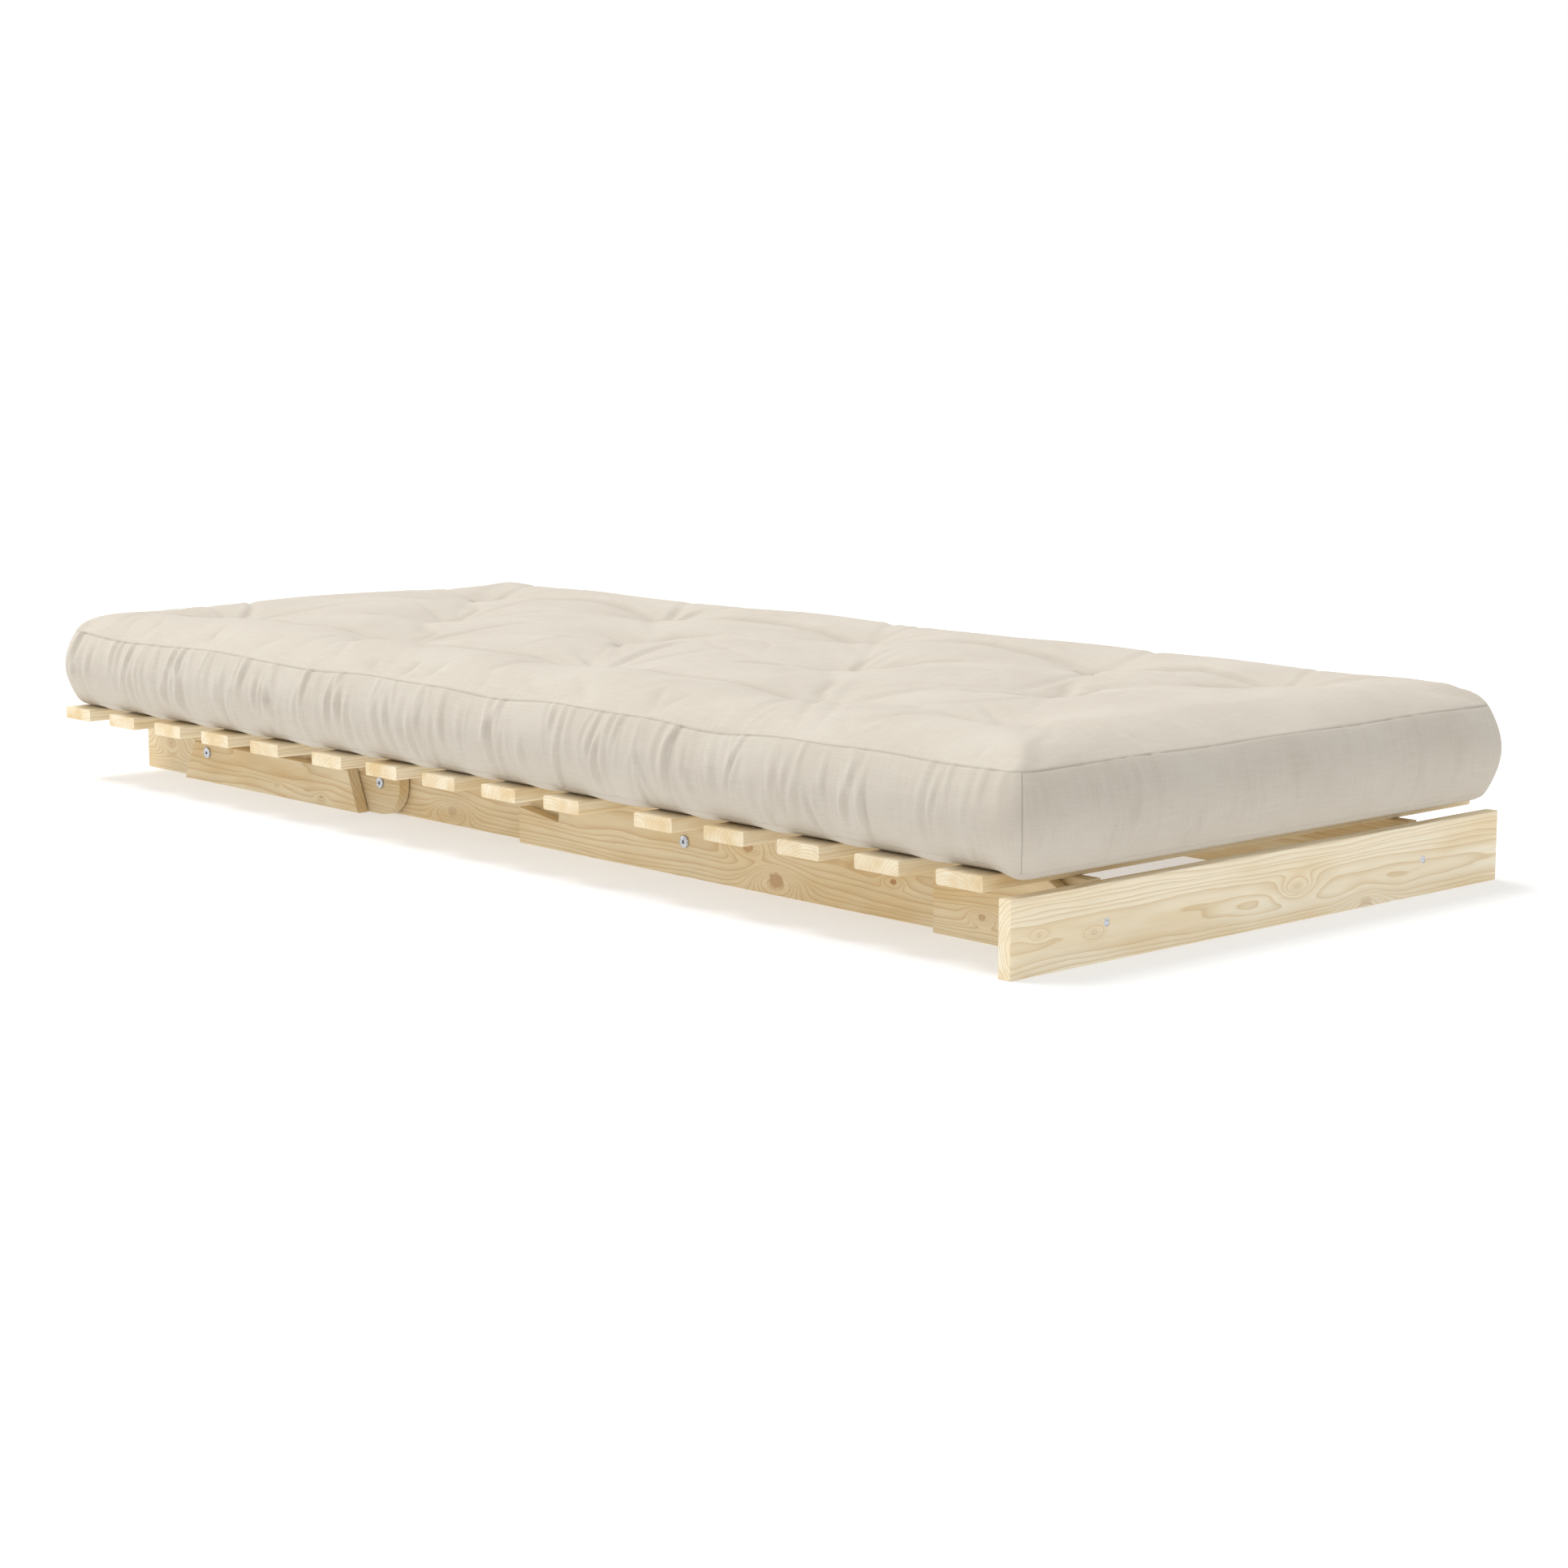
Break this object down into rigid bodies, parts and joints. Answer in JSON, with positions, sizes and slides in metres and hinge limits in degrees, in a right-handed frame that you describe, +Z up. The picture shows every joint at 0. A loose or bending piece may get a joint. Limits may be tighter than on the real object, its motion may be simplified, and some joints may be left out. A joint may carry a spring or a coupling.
{
  "type": "futon sofa bed",
  "caption": "Low folding pine frame of hinged slatted sections that makes a bed, a lounger or a chair, with a tufted cotton futon on top.",
  "frame": {"origin": "on the floor under the middle of the bed's plan, as it lies flat", "axes": "+X across the bed, +Y from the cross board at the foot to the head end, +Z up"},
  "size_m": [0.908, 2.065, 0.2555],
  "materials": {
    "pine_board": "satin",
    "pine_slat": "satin",
    "zinc_steel": "satin",
    "futon_cotton": "matte",
    "futon_filling": "matte",
    "tie_thread": "matte"
  },
  "bodies": {
    "seat": {"cross_board": "pine_board", "cross_board_screws": "zinc_steel", "front_leg_pivot_bolt_left": "zinc_steel", "front_leg_pivot_bolt_right": "zinc_steel", "front_leg_pivot_nuts": "zinc_steel", "front_leg_pivot_washers": "zinc_steel", "futon_cover_seat": "futon_cotton", "futon_filling_seat": "futon_filling", "futon_ties_seat": "tie_thread", "seat_pivot_bolt_left": "zinc_steel", "seat_pivot_bolt_right": "zinc_steel", "seat_pivot_nuts": "zinc_steel", "seat_pivot_washers": "zinc_steel", "seat_rail_left": "pine_board", "seat_rail_right": "pine_board", "seat_slat_1": "pine_slat", "seat_slat_2": "pine_slat", "seat_slat_3": "pine_slat", "seat_slat_4": "pine_slat", "seat_slat_5": "pine_slat", "seat_slat_screws": "zinc_steel"},
    "middle": {"futon_cover_middle": "futon_cotton", "futon_filling_middle": "futon_filling", "futon_ties_middle": "tie_thread", "middle_rail_left": "pine_board", "middle_rail_right": "pine_board", "middle_slat_1": "pine_slat", "middle_slat_2": "pine_slat", "middle_slat_3": "pine_slat", "middle_slat_4": "pine_slat", "middle_slat_5": "pine_slat", "middle_slat_screws": "zinc_steel"},
    "head": {"futon_cover_head": "futon_cotton", "futon_filling_head": "futon_filling", "futon_ties_head": "tie_thread", "head_pivot_bolt_left": "zinc_steel", "head_pivot_bolt_right": "zinc_steel", "head_pivot_nuts": "zinc_steel", "head_pivot_washers": "zinc_steel", "head_rail_left": "pine_board", "head_rail_right": "pine_board", "head_slat_1": "pine_slat", "head_slat_2": "pine_slat", "head_slat_3": "pine_slat", "head_slat_4": "pine_slat", "head_slat_5": "pine_slat", "head_slat_screws": "zinc_steel", "prop_pivot_bolt_left": "zinc_steel", "prop_pivot_bolt_right": "zinc_steel", "prop_pivot_nuts": "zinc_steel", "prop_pivot_washers": "zinc_steel"},
    "prop_leg_left": {"prop_leg_left": "pine_board"},
    "prop_leg_right": {"prop_leg_right": "pine_board"},
    "front_leg_left": {"front_leg_left": "pine_board"},
    "front_leg_right": {"front_leg_right": "pine_board"}
  },
  "joints": [
    {"name": "seat_pivot", "type": "hinge", "parent": "seat", "child": "middle", "pos_m": [0, -0.299, 0.046], "axis": [1, 0, 0], "range_deg": [0, 70.15], "deforming": ["futon_cover_seat", "futon_filling_seat", "futon_ties_seat", "futon_cover_middle", "futon_filling_middle", "futon_ties_middle"]},
    {"name": "head_pivot", "type": "hinge", "parent": "middle", "child": "head", "pos_m": [0, 0.3755, 0.046], "axis": [-1, 0, 0], "range_deg": [-45.33, 153.05], "deforming": ["futon_cover_head", "futon_filling_head", "futon_ties_head"]},
    {"name": "prop_leg_left_pivot", "type": "hinge", "parent": "head", "child": "prop_leg_left", "pos_m": [-0.314, 0.8065, 0.046], "axis": [-1, 0, 0], "range_deg": [-67.27, 0]},
    {"name": "prop_leg_right_pivot", "type": "hinge", "parent": "head", "child": "prop_leg_right", "pos_m": [0.314, 0.8065, 0.046], "axis": [-1, 0, 0], "range_deg": [-67.27, 0]},
    {"name": "front_leg_left_pivot", "type": "hinge", "parent": "seat", "child": "front_leg_left", "pos_m": [-0.314, -0.9345, 0.045], "axis": [-1, 0, 0], "range_deg": [0, 82.9]},
    {"name": "front_leg_right_pivot", "type": "hinge", "parent": "seat", "child": "front_leg_right", "pos_m": [0.314, -0.9345, 0.045], "axis": [-1, 0, 0], "range_deg": [0, 82.9]}
  ]
}
